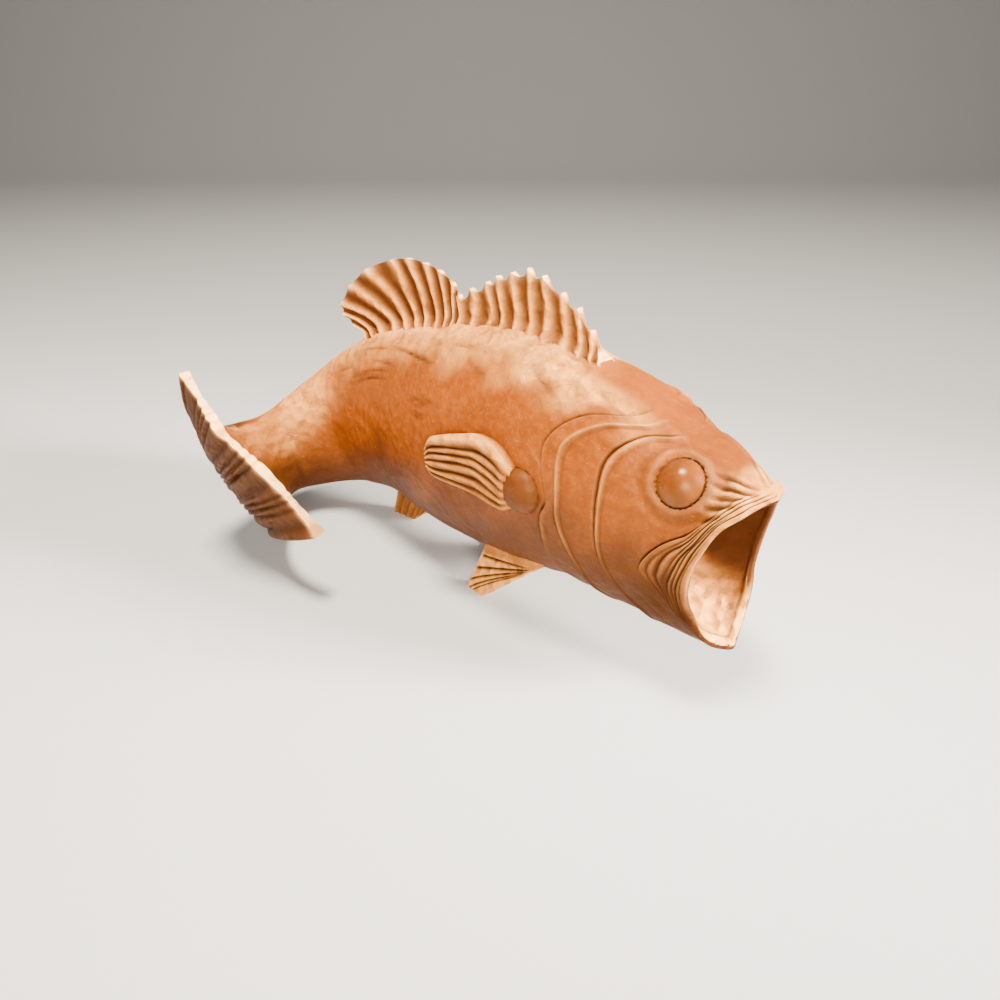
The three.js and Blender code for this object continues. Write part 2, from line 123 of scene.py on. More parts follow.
def cutAt(station):
    places = [row[:3] for row in body["stations"]]
    girths = [row[3:] for row in body["stations"]]
    station = np.asarray(station, float)
    centre = throughPoints(places, station)
    ahead = unit(throughPoints(places, station + 0.001) - throughPoints(places, station - 0.001))
    up = np.array([0.0, 0.0, 1.0])
    back = unit(up - ahead * ahead[..., 2:3])
    right = np.cross(ahead, back)
    taper = between(body["tailTaper"], 1, easeStep(station, 0, 1))
    size = throughPoints(girths, station) * taper[..., None]
    return centre, ahead, back, right, size[..., 0], size[..., 1]


# A point of the skin: angle 0 is the back, 90 the fish's right side, 180 the belly.
def skin(station, angle, rise=0.0):
    station, angle, rise = np.broadcast_arrays(np.asarray(station, float), angle, rise)
    centre, _, back, right, halfHeight, halfWidth = cutAt(station)
    turn = np.radians(angle)
    low, high = body["browStations"]
    brow = np.maximum(np.cos(turn), 0) * np.sin(np.clip((station - low) / (high - low), 0, 1) * math.pi) ** 2
    power = body["fullness"] - body["browFullness"] * brow
    below = np.maximum(-np.cos(turn), 0) ** 4
    chin = body["chinPoint"] * easeStep(station, *body["chinStations"]) * below
    tall = np.sign(np.cos(turn)) * np.abs(np.cos(turn)) ** power
    wide = np.sign(np.sin(turn)) * np.abs(np.sin(turn)) ** power * (1 - chin)
    return centre + back * ((halfHeight + rise) * tall)[..., None] + right * ((halfWidth + rise) * wide)[..., None]


# Millimetres along the middle line, for turning stations into distances.
lengthTable = np.concatenate([[0], np.cumsum(np.linalg.norm(
    np.diff(throughPoints([row[:3] for row in body["stations"]], np.linspace(0, 10, 401)), axis=0), axis=1))])


def lengthAt(station):
    return np.interp(station, np.linspace(0, 10, 401), lengthTable)


# Carved lines on the head: angle and station pairs, the same on both sides.
head = {
    "gillEdge": [[0, 6.5], [25, 6.39], [44, 6.08], [63, 5.9], [76, 5.92], [89, 6.0], [97, 5.94],
                 [110, 5.95], [128, 6.07], [149, 6.55], [180, 6.9]],
    "coverEdge": [[0, 6.6], [25, 6.49], [44, 6.18], [63, 6.0], [84, 6.06], [95, 6.12], [106, 6.27],
                  [120, 6.5], [136, 6.72], [149, 6.95], [180, 7.2]],
    "cheekEdge": [[0, 6.95], [16, 6.81], [32, 6.56], [48, 6.42], [60, 6.38], [72, 6.42], [86, 6.51],
                  [101, 6.68], [114, 6.94], [129, 7.33], [145, 7.75], [180, 8.0]],
    "jawBoneEdge": [[0, 8.84], [22, 8.71], [45, 8.4], [64, 8.05], [79, 7.6], [92, 7.38], [98, 7.5],
                    [106, 8.1], [114, 8.75], [122, 9.2], [150, 9.6], [180, 9.75]],
    "lipEdge": [[0, 9.36], [31, 9.08], [51, 8.8], [69, 8.71], [83, 8.68], [96, 8.78], [106, 8.95],
                [117, 9.2], [135, 9.47], [155, 9.7], [180, 9.88]],
    "gillStep": 0.8,
    "flapAngles": (85, 105),
    "coverStep": 1.0,
    "coverEnd": 0.5,
    "cheekStep": 1.1,
    "jawBoneStep": 1.3,
    # creases between the jaw bone and the lip: place over the band, depth, first and last angle
    "creases": [(0.1, 0.6, 50, 112), (0.23, 1.0, 4, 118), (0.36, 0.7, 55, 110), (0.49, 1.2, -4, 122),
                (0.62, 0.8, 36, 118), (0.76, 1.0, -8, 124), (0.89, 0.45, 60, 130)],
    "creaseWidth": 0.036,
    "bead": 0.4,
    "beadWidth": 0.48,
    "stopCut": 0.8,
    "stopWidth": 0.42,
}
mouth = {"lip": 1.7, "chin": 4.6, "throatStation": 7.05, "wall": 9.0, "endFrom": 0.8, "rounding": 3.6}


def lineAt(name, angle):
    line = throughPoints(head[name], np.linspace(0, len(head[name]) - 1, 300))
    return np.interp(np.abs(angle), line[:, 0], line[:, 1])


def sideFade(angle):
    size = np.abs(angle)
    return easeStep(size, 8, 30) * (1 - easeStep(size, 140, 172))


eye = {
    "station": 7.38,
    "angles": {1: 40, -1: -54},
    "radius": 8.0,
    "rise": 3.9,
    "tilt": 0.05,
    "lidRadius": 8.4,
    "grooveHalf": 0.3,
}

# Short knife cuts and creases on the skin: from station, angle to station, angle, depth, width in mm.
cuts = [
    (3.36, 32, 4.23, 43, 0.8, 0.8), (2.74, 52, 3.44, 50, 0.6, 0.7), (2.74, 57, 3.47, 55, 0.6, 0.7),
    (3.81, 66, 4.16, 61, 0.6, 0.7), (3.96, 68, 4.29, 62, 0.6, 0.7), (3.93, 74, 4.1, 70, 0.5, 0.7),
    (5.47, 29, 5.87, 42, 0.5, 1.2), (3.1, 42, 3.5, 47, 0.6, 0.7), (4.7, 38, 5.0, 45, 0.4, 0.8),
    (1.1, 62, 1.45, 50, 0.25, 1.6), (1.5, 58, 1.9, 70, 0.2, 1.5), (6.05, 24, 6.3, 31, 0.3, 1.2),
    (2.9, 30, 3.3, 33, 0.6, 0.7), (4.3, 27, 4.75, 30, 0.5, 0.8), (2.5, 40, 2.8, 44, 0.5, 0.7),
    (7.75, 20, 8.88, 3, 0.9, 1.0), (7.85, 30, 8.85, 12, 1.1, 1.05), (7.95, 39, 8.8, 21, 0.9, 1.0),
    (8.0, 47, 8.72, 31, 1.0, 1.05), (8.15, 55, 8.6, 42, 0.8, 1.0),
    (7.66, 110, 8.4, 121, 0.5, 1.1),
    (7.5, 116, 8.2, 129, 0.35, 1.0), (7.2, 122, 7.9, 137, 0.3, 1.0),
]


def knifeCuts(station, angle):
    along = lengthAt(station)
    total = 0 * along
    for fromStation, fromAngle, toStation, toAngle, depth, width in cuts:
        # distance from the cut's line, measured on the skin
        reach = np.radians(1) * 38
        start = np.array([lengthAt(fromStation), fromAngle * reach])
        stop = np.array([lengthAt(toStation), toAngle * reach])
        here = np.stack([along, np.abs(angle) * reach], -1)
        part = np.clip(((here - start) @ (stop - start)) / ((stop - start) @ (stop - start)), 0, 1)
        away = np.linalg.norm(here - start - part[..., None] * (stop - start), axis=-1)
        plain = np.where(angle > 0, 1.0, 0.45)  # the far side is carved more plainly
        total = total + depth * plain * np.exp(-((away / width) ** 2)) * np.sin(part * math.pi) ** 0.5
    return total


def fineRelief(station, angle):
    spot = skin(station, angle)
    along = lengthAt(station)
    around = np.radians(angle) * 34
    relief = 0.2 * swell(spot, 13, 5) + 0.06 * swell(spot, 6.5, 9)
    # gouge marks, deepest on the back beside the fins, nearly sanded away lower down
    upper = 1 - easeStep(np.abs(angle) + 6 * swell(spot, 20, 3), 16, 62)
    onHead = easeStep(station, 5.8, 6.2)
    depth = between(0.25, 1.0, upper * (1 - onHead)) * (1 - 0.5 * onHead)
    relief = relief + depth * (scoops(along, around, 8.0, 5.0, 7) - 0.4)
    relief = relief + 0.1 * (scoops(along, around, 6.5, 4.2, 8) - 0.4)
    chipped = easeStep(swell(spot, 2.6, 41) + 0.5 * swell(spot, 6, 42), 0.1, 0.4)
    relief = relief - 0.55 * chipped * upper * (1 - onHead) * easeStep(station, 2.2, 3.0)
    relief = relief - knifeCuts(station, angle)
    # raised lids round the eyes
    for side, eyeAngle in eye["angles"].items():
        away = np.linalg.norm(spot - skin(eye["station"], eyeAngle), axis=-1)
        lid = 0.85 * np.exp(-(((away - eye["lidRadius"]) / 1.5) ** 2))
        relief = relief + lid - 0.45 * np.exp(-(((away - eye["lidRadius"] - 3.2) / 1.3) ** 2))
    # soft ridges that run back from the brows
    brow = np.exp(-(((np.abs(angle) - 14) / 7) ** 2)) * easeStep(station, 5.9, 6.4) * (1 - easeStep(station, 7.4, 8.1))
    return relief + 0.9 * brow


# Knife creases that fan out from the corner of the mouth, each with its own depth and length.
def creases(part, angles):
    depth = np.zeros_like(part)
    size = np.abs(angles)
    for k, (place, deep, first, last) in enumerate(head["creases"]):
        wander = 0.02 * np.sin(size / 9 + 2.3 * k) + 0.012 * np.sin(size / 3.7 + k)
        first = np.where(angles < 0, 36, first)
        reach = easeStep(size, first, first + 14) * (1 - easeStep(size, last - 10, last))
        depth += deep * reach * np.exp(-np.abs((part - place - wander) / head["creaseWidth"]) ** 1.4)
    return depth * easeStep(1 - part, 0.04, 0.14) * np.where(angles < 0, 0.6, 1)


# How far the rim of the lips has rounded away at a distance from its crest.
def rimDrop(distance, radius):
    part = np.clip(1 - distance / radius, 0, 1)
    return radius * (1 - np.sqrt(1 - part**2))


def evenWithDenseEnds(count):
    part = np.linspace(0, 1, count)
    return 0.45 * part + 0.55 * (0.5 - 0.5 * np.cos(part * math.pi))


def bodyRings():
    angles = np.arange(body["columns"]) * 360 / body["columns"] - 180
    flap = easeStep(np.abs(angles), *head["flapAngles"])
    chin = easeStep(np.abs(angles), 120, 165)
    rimRound = between(1.3, 2.6, chin)
    bands = [
        ("gillEdge", 110, lambda part: 0 * part),
        ("coverEdge", 8, lambda part: between(head["coverStep"] + head["coverEnd"], head["gillStep"], flap)),
        ("cheekEdge", 26, lambda part: between(head["coverStep"] + head["coverEnd"], head["coverEnd"], part)),
        ("jawBoneEdge", 44, lambda part: head["cheekStep"] * (1 - part)),
        ("lipEdge", 54, lambda part: head["jawBoneStep"] + 0 * part),
    ]
    stations, rises, darks, pales = [], [], [], []
    before = None
    for order, (edge, rows, profile) in enumerate(bands):
        stop = lineAt(edge, angles)
        start = np.full_like(stop, 0.25) if before is None else before + 0.02
        parts = 1 - np.linspace(1, 0, rows) ** 1.25 if order == 0 else evenWithDenseEnds(rows)
        for part in parts:
            station = between(start, stop, part)
            rise = profile(np.full_like(station, part)) * sideFade(angles)
            past = lengthAt(station) - lengthAt(start)
            left = lengthAt(stop) - lengthAt(station)
            line = sideFade(angles) * (flap if order == 1 else 1)
            pale, dark = 0 * line, 0 * line
            if 0 < order < 4:
                pale = np.exp(-(((past - 0.7) / head["beadWidth"]) ** 2)) * line
                # the thin line behind the bead is painted dark: painted shade in its small groove
                dark = 0.4 * np.exp(-(((past - 1.9) / 0.35) ** 2)) * line
                rise = rise + head["bead"] * (pale - dark)
            if order == 4:
                folds = creases(np.full_like(station, part), angles) * (1 - easeStep(np.abs(angles), 140, 160))
                # the creases are painted dark: painted shade in the folds
                dark = np.clip(0.9 * folds, 0, 1)
                pale = 0.9 * (1 - dark) * line * easeStep(np.abs(angles), 2, 20)
                rise = rise - folds - rimDrop(left, rimRound)
            else:
                lineCut = np.exp(-((left / head["stopWidth"]) ** 2)) * line
                # the stop cut is painted dark: painted shade in the cut
                dark = np.maximum(dark, lineCut)
                rise = rise - head["stopCut"] * lineCut
            stations.append(station)
            rises.append(rise)
            darks.append(dark)
            pales.append(pale)
        before = stop
    stations, rises = np.array(stations), np.array(rises)
    angleGrid = np.broadcast_to(angles, stations.shape)
    rises = rises + fineRelief(stations, angleGrid)
    # the lip's crest, then the walls of the mouth back to the throat
    lip = lineAt("lipEdge", angles)
    wall = between(mouth["lip"], mouth["chin"], chin)
    inStations, inRises = [], []
    for part in np.linspace(0, 1, 36) ** 1.25:
        station = between(lip, np.full_like(lip, mouth["throatStation"]), part)
        ending = max(part - mouth["endFrom"], 0) / (1 - mouth["endFrom"])
        rimGroove = 0.75 * np.exp(-(((part - 0.1) / 0.03) ** 2)) - 0.3 * np.exp(-(((part - 0.16) / 0.03) ** 2))
        rimGroove = rimGroove * between(0.2, 1, easeStep(np.abs(angles), 90, 120))
        spot = skin(station, angles)
        toolMarks = 0.3 * swell(spot, 3.4, 21) * easeStep(part, 0.15, 0.4)
        inStations.append(station)
        rimRise = 0.8 * rimDrop(lengthAt(lip) - lengthAt(station), rimRound)
        inRises.append(-wall - part**2 * mouth["wall"] - ending * mouth["rounding"] - rimGroove + toolMarks + rimRise)
    return stations, angleGrid, rises, np.array(inStations), np.array(inRises), np.array(darks), np.array(pales)


# Every part is kept as points and faces, with marks for the wood at each point: how raw (dry and pale, below 0
# polished; in places also painted light) and how dark it is (stain and old oil, and painted shade in many places).
sources = {"points": [], "raw": [], "dark": []}


def madeObject(name, points, faces, raw=0.0, dark=0.0):
    points = points.reshape(-1, 3)
    sources["points"].append(points)
    sources["raw"].append(np.broadcast_to(np.ravel(raw), len(points)))
    sources["dark"].append(np.broadcast_to(np.ravel(dark), len(points)))
    mesh = bpy.data.meshes.new(name)
    mesh.from_pydata(((points + originShift) / 1000).tolist(), [], [list(map(int, face)) for face in faces])
    mesh.update()
    triangles = np.array([[face[0], face[k], face[k + 1]] for face in faces for k in range(1, len(face) - 1)])
    a, b, c = (points[triangles[:, k]] for k in range(3))
    if np.einsum("ij,ij->i", a, np.cross(b, c)).sum() < 0:
        mesh.flip_normals()
    made = bpy.data.objects.new(name, mesh)
    bpy.context.scene.collection.objects.link(made)
    return made


def madeBody():
    stations, angles, rises, inStations, inRises, lineDark, linePale = bodyRings()
    outer = skin(stations, angles, rises)
    inner = skin(inStations, angles[0], inRises)
    rings = np.concatenate([outer, inner])
    rows, columns = rings.shape[:2]
    first = (skin(0, 0) + skin(0, 180)) / 2
    last = cutAt(mouth["throatStation"])[0]
    points = np.concatenate([first[None], rings.reshape(-1, 3), last[None]])
    faces = []
    for k in range(columns):
        n = (k + 1) % columns
        faces.append((0, 1 + n, 1 + k))
        faces.append((1 + (rows - 1) * columns + k, 1 + (rows - 1) * columns + n, len(points) - 1))
    row, k = np.meshgrid(np.arange(rows - 1), np.arange(columns), indexing="ij")
    n = (k + 1) % columns
    quads = np.stack([1 + row * columns + k, 1 + row * columns + n,
                      1 + (row + 1) * columns + n, 1 + (row + 1) * columns + k], -1).reshape(-1, 4)
    faces += [tuple(q) for q in quads.tolist()]
    ragged = 9 * swell(outer, 8, 31) + 3 * swell(outer, 5, 32)
    size = np.abs(angles)
    def patch(fading, first, last):
        return (1 - easeStep(size + ragged, *fading)) * easeStep(stations, *first) * (1 - easeStep(stations, *last))

    # pale patches of dry, worn wood below the dorsal fins, on the snout and at the lips; on the stem top and the
    # shoulders the pale is partly dry wood and partly a painted highlight
    underDorsal = 0.5 * patch((10, 26), (2.2, 3.0), (5.5, 6.0)) + 0.5 * patch((26, 56), (1.8, 2.8), (5.5, 6.2))
    stemTopPaleAndLit = patch((40, 92), (-0.6, 1.3), (1.3, 3.0))
    shoulderPaleAndSheen = patch((30, 48), (5.2, 5.6), (6.2, 6.8)) * easeStep(size, 12, 24)
    snout = patch((34, 60), (7.9, 8.2), (11, 12))
    lipEdges = easeStep(stations - lineAt("lipEdge", angles), -0.1, 0.0) * between(0.3, 1, easeStep(size, 110, 130))
    rawOuter = 1.0 * underDorsal + 0.9 * stemTopPaleAndLit + 0.7 * shoulderPaleAndSheen + 0.8 * snout + 0.3 * lipEdges + 0.35 * linePale
    rawOuter = np.clip(rawOuter, 0, 1)
    # painted shade: the underside, the corners of the mouth and the throat are darker, and so are the head and the top
    # of the head
    under = 0.6 * easeStep(size + ragged, 78, 126) + 0.4 * easeStep(stations, 6.8, 8.2) * easeStep(size, 80, 108)
    onTop = easeStep(stations, 5.6, 6.2) * (1 - easeStep(size + ragged, 14, 34)) * (1 - easeStep(stations, 7.9, 8.5))
    under = under + 0.16 * easeStep(stations, 6.0, 6.9) + 0.14 * onTop
    # carved lines and knife cuts are painted dark as well: painted shade in the cuts
    darkOuter = np.clip(under + 0.5 * lineDark + 0.7 * knifeCuts(stations, angles), 0, 1)
    deep = np.linspace(0, 1, len(inStations))[:, None] + 0 * inStations
    # inside the mouth: the floor is pale, partly dry unfinished wood and partly painted light where it faces up to the
    # lamps; the roof, the groove inside the rim and the throat are painted dark: painted shade
    floorSide = easeStep(size[:1] + 5 * swell(inner, 9, 33), 106, 138)
    rawAndLitInner = 0.1 + 1.3 * floorSide * (1 - easeStep(deep, 0.75, 1))
    darkInner = (1 - floorSide) * between(0.8, 1.0, easeStep(deep, 0.03, 0.25)) + 0.5 * easeStep(deep, 0.8, 1)
    darkInner = darkInner + 0.6 * floorSide * np.exp(-(((deep - 0.16) / 0.03) ** 2))
    return madeObject(
        "body", points, faces,
        raw=np.concatenate([[0], rawOuter.ravel(), rawAndLitInner.ravel(), [0.2]]),
        dark=np.concatenate([[0], darkOuter.ravel(), np.clip(darkInner, 0, 1).ravel(), [0.6]]))


# A fin is a closed plate: u runs along it, v from root to free edge; half gives both half thicknesses.
# Its marks are functions of u, v and the face's side.
def madePlate(name, across, upwards, middle, half, raw, dark):
    u, v = np.meshgrid(np.linspace(0, 1, across + 1), np.linspace(0, 1, upwards + 1))
    point, normal = middle(u, v)
    right, left = half(u, v)
    points = np.concatenate([(point + normal * right[..., None]).reshape(-1, 3),
                             (point - normal * left[..., None]).reshape(-1, 3)])
    layer = (across + 1) * (upwards + 1)
    j, i = np.meshgrid(np.arange(upwards), np.arange(across), indexing="ij")
    a = (j * (across + 1) + i).ravel()
    top = np.stack([a, a + 1, a + across + 2, a + across + 1], -1)
    faces = top.tolist() + (top[:, ::-1] + layer).tolist()
    rim = list(range(across)) + [across + j * (across + 1) for j in range(upwards)]
    rim += [upwards * (across + 1) + i for i in range(across, 0, -1)]
    rim += [j * (across + 1) for j in range(upwards, 0, -1)]
    for k, a in enumerate(rim):
        b = rim[(k + 1) % len(rim)]
        faces.append((a, a + layer, b + layer, b))
    both = [np.concatenate([np.ravel(mark(u, v, side) + 0 * u) for side in (1, -1)]) for mark in (raw, dark)]
    return madeObject(name, points, faces, raw=both[0], dark=both[1])


def overRidge(station, height, side=1):
    centre, _, back, right, halfHeight, _ = cutAt(station)
    return centre + back * (side * (halfHeight + height))[..., None], right


def pairAt(pairs, u):
    pairs = np.asarray(pairs, float)
    place = u * (len(pairs) - 1)
    return [np.interp(place, np.arange(len(pairs)), pairs[:, k]) for k in range(pairs.shape[1])]


dorsal = {
    "root": 4,
    "spinyTips": [[4.02, 9.6], [4.26, 11.7], [4.52, 13.8], [4.67, 15.8], [4.86, 17.3], [5.07, 19.4],
                  [5.28, 18.3], [5.5, 14.9], [5.67, 12.3], [5.8, 7.4], [5.9, 1.5]],
    "notch": 2.2,
    "lean": 0.1,
    "softOutline": [[2.62, 6], [2.53, 12], [2.54, 16.4], [2.7, 20.9], [2.92, 24.2], [3.14, 25],
                    [3.31, 24.5], [3.53, 21.9], [3.75, 18.3], [3.94, 13.8], [4.06, 9.2]],
    "softRoot": (2.78, 4.1),
    "softRays": 10,
    "rootHalf": 2.5,
    "edgeHalf": 1.15,
    "flare": 2.2,
    "spinyGroove": 1.25,
    "softGroove": 1.45,
}


# Fins grow thicker into the back with a hollow curve, and their rays run out there.
def rayCrest(u, v, rays, sharpness):
    wander = 0.006 * np.sin(v * 4 + u * 13) + 0.003 * np.sin(v * 9 + u * 31)
    return np.abs(np.cos((u + wander) * rays * math.pi)) ** sharpness


def dorsalHalf(u, v, height, rays, depth, sharpness):
    crest = rayCrest(u, v, rays, sharpness)
    flare = dorsal["flare"] * between(0.45, 1, crest) * np.exp(-np.maximum(height, 0) / 1.6)
    half = between(dorsal["rootHalf"], dorsal["edgeHalf"], v) + flare
    groove = depth * (1 - crest) * easeStep(height, 0.2, 2.5) * (1 - 0.25 * v)
    rough = 0.12 * np.sin(u * 61 + v * 17) * np.sin(v * 23 + u * 9)
    return half - groove + rough * easeStep(v, 0.1, 0.3), half - groove * 0.9 - rough


def spinyDorsal():
    spines = len(dorsal["spinyTips"]) - 1

    def place(u, v):
        station, tip = pairAt(dorsal["spinyTips"], u)
        notch = dorsal["notch"] * np.abs(np.sin(u * spines * math.pi)) ** 0.85 * np.minimum(1, tip / 8)
        return station + dorsal["lean"] * (1 - v), between(-dorsal["root"], tip - notch, v)

    def crest(u, v):
        return rayCrest(u, v, spines, 2.2) ** 0.6

    # painted shade in the valleys between the spines, with paler worn crests
    return madePlate(
        "spinyDorsal", spines * 12, 16, lambda u, v: overRidge(*place(u, v)),
        lambda u, v: dorsalHalf(u, v, place(u, v)[1], spines, dorsal["spinyGroove"], 2.2),
        lambda u, v, side: between(0.3, 1.3, crest(u, v) ** 2.5),
        lambda u, v, side: 0.42 * (1 - crest(u, v)) ** 0.7 * easeStep(v, 0.15, 0.3))


def softDorsal():
    def place(u, v):
        station, tip = pairAt(dorsal["softOutline"], u)
        root = between(*dorsal["softRoot"], u)
        bow = 0.05 * np.sin(v * math.pi) * (1 - u)  # the rays curve a little
        return between(root, station, v) + bow, between(-dorsal["root"], tip, v)

    def crest(u, v):
        return rayCrest(u, v, dorsal["softRays"], 2.0)

    # painted shade in the grooves between the rays, with paler worn crests
    return madePlate(
        "softDorsal", dorsal["softRays"] * 12, 18, lambda u, v: overRidge(*place(u, v)),
        lambda u, v: dorsalHalf(u, v, place(u, v)[1], dorsal["softRays"], dorsal["softGroove"], 2.0),
        lambda u, v, side: between(0.15, 1.2, crest(u, v) ** 1.6),
        lambda u, v, side: 0.6 * (1 - crest(u, v)) * easeStep(v, 0.12, 0.28))


anal = {"root": (2.5, 3.45), "foot": (2.26, 2.86), "half": 3.2, "thinning": 0.8, "lift": 3.5, "under": 2, "rays": 5}


def analFin():
    def middle(u, v):
        top, normal = overRidge(between(*anal["root"], u), np.full_like(u, -4.0), -1)
        bottom, _ = overRidge(between(*anal["foot"], u), np.zeros_like(u), -1)
        bottom[..., 2] = -anal["under"] + (anal["under"] + anal["lift"]) * easeStep(u, 0.55, 1)
        return between(top, bottom, v[..., None]), normal

    def half(u, v):
        wave = np.abs(np.sin(u * anal["rays"] * math.pi)) ** 0.8
        size = anal["half"] - anal["thinning"] * v - 0.7 * wave * easeStep(v, 0.2, 0.4)
        return size, size

    return madePlate("analFin", 60, 16, middle, half, lambda u, v, side: 0.3, lambda u, v, side: 0.3)


tail = {
    "rootLine": [[-70.5, 49.4, 50.6], [-71.5, 49.0, 31.6], [-69.5, 48.2, 12.4]],
    "bulgeLine": [[-90.8, 23.6, 53.0], [-84.6, 17.0, 36.6], [-68.5, 6.2, 17.8]],
    "edgeLine": [[-92.1, 7.7, 81.5], [-76.4, -8.8, 65.2], [-43.5, -20.9, 30.9]],
    "edgeBow": (1.1, 0, 1.2),
    "notch": 0.38,
    "rootHalf": 10.2,
    "edgeHalf": 1.7,
    "endThinning": 0.96,
    "rays": 15,
    "scallop": 1.2,
    "gouge": 1.7,
}


def curveThrough(first, middle, last, t):
    t = t[..., None]
    control = 2 * middle - first / 2 - last / 2
    return first * (1 - t) ** 2 + control * 2 * t * (1 - t) + last * t**2


def tailSheet(u, v):
    rootLine, bulgeLine, edgeLine = (np.array(tail[name], float) for name in ("rootLine", "bulgeLine", "edgeLine"))
    upper, notch, lower = edgeLine
    part = np.where(u < tail["notch"], u / tail["notch"], (u - tail["notch"]) / (1 - tail["notch"]))[..., None]
    bowed = between(notch, lower, part) + np.array(tail["edgeBow"]) * np.sin(part * math.pi)
    edge = np.where((u < tail["notch"])[..., None], between(upper, notch, part), bowed)
    return curveThrough(curveThrough(*rootLine, u), curveThrough(*bulgeLine, u), edge, v)


def tailFin():
    # the rays are unevenly spaced
    def rayBend(u, v):
        return u * tail["rays"] + 0.42 * np.sin(u * 23 + 0.6) + 0.4 * np.sin(v * 5 + u * 9) * (1 - v)

    def middle(u, v):
        gap = 0.02
        along = tailSheet(u, np.minimum(v + gap, 1)) - tailSheet(u, np.maximum(v - gap, 0))
        across = tailSheet(np.maximum(u - gap, 0), v) - tailSheet(np.minimum(u + gap, 1), v)
        rearwards = unit(np.array(tail["edgeLine"][1]) - np.array(tail["bulgeLine"][1]))
        scallop = tail["scallop"] * (np.abs(np.sin(rayBend(u, v) * math.pi)) ** 0.7 - 1) * v**4
        scallop = scallop * (0.7 + 0.3 * np.sin(u * 37))
        return tailSheet(u, v) + rearwards * scallop[..., None], unit(np.cross(across, along))

    def half(u, v):
        ends = np.sqrt(1 - tail["endThinning"] * (2 * u - 1) ** 2 * (1 - v))
        size = between(tail["rootHalf"], tail["edgeHalf"], v**0.85) * ends
        size = size + 0.8 * easeStep(u, 0.93, 1) * easeStep(v, 0.7, 0.95) + 0.35 * np.sin(u * 19 + 2) * v**3
        wave = np.abs(np.sin(rayBend(u, v) * math.pi))
        uneven = 0.62 + 0.38 * np.sin(u * 23 + 1) * np.sin(v * 11 + u * 31)
        gouged = tail["gouge"] * (1 - wave**1.2) * easeStep(v, 0.3, 0.5) * (1 - 0.5 * easeStep(v, 0.8, 1)) * uneven
        short = np.abs(np.sin(u * 71 + v * 9 + np.sin(v * 19))) ** 5 * np.maximum(np.sin(v * 21 + u * 40), 0)
        gouged = gouged + 0.8 * short * easeStep(v, 0.35, 0.6) * (1 - easeStep(v, 0.85, 0.95))
        smooth = 0.3 * (1 - wave) * easeStep(v, 0.75, 0.98)
        return size - smooth, size - gouged

    _, normal = middle(np.array([0.5]), np.array([0.5]))
    facesLeft = normal[0, 0] < 0  # which side of the sheet is the gouged, outer one

    def sides(u, v):
        plain, gouged = half(u, v)
        return (gouged, plain) if facesLeft else (plain, gouged)

    def isOuter(side):
        return (side > 0) == facesLeft

    # the edge is worn pale, but for the knob at the notch and the rounded lower end
    def raw(u, v, side):
        strip = (1 - np.exp(-(((u - tail["notch"]) / 0.03) ** 2))) * (1 - easeStep(u, 0.93, 0.96))
        if isOuter(side):
            return np.maximum(0.15, strip * easeStep(v, 0.97, 1))
        worn = 0.6 * (1 - easeStep(u, 0.3, 0.6)) * (1 - easeStep(v, 0.1, 0.8))
        return np.maximum(between(0.1, 0.9, strip * easeStep(v, 0.6, 0.9)), worn)

    def dark(u, v, side):
        # painted shade: as dark underneath as the body that it grows from
        below = 0.55 * easeStep(u, 0.42, 0.7) * (1 - easeStep(v, 0.15, 0.6))
        if not isOuter(side):
            return below
        # the gouged outer face is dark: partly dark stain, partly painted shadow, as it faces away from the lamps
        wave = np.abs(np.sin(rayBend(u, v) * math.pi))
        return np.maximum(below, easeStep(v, 0.1, 0.35) * (1 - easeStep(v, 0.97, 1)) * between(1.0, 0.72, wave))

    return madePlate("tailFin", tail["rays"] * 10, 44, middle, sides, raw, dark)


pectoral = {
    "outline": [[4.33, 83, 93], [4.42, 79, 95.5], [4.66, 76.5, 96.5], [4.9, 74.5, 97], [5.15, 72.5, 98],
                [5.36, 73.5, 100], [5.52, 77, 100.5], [5.66, 83, 98]],
    "rise": 4.4,
    "sink": 2,
    "rays": 6,
    "groove": 1.5,
    "topRay": 0.26,
    "pad": (5.7, 90.5, 7.6, 4.7, 0.66),
}


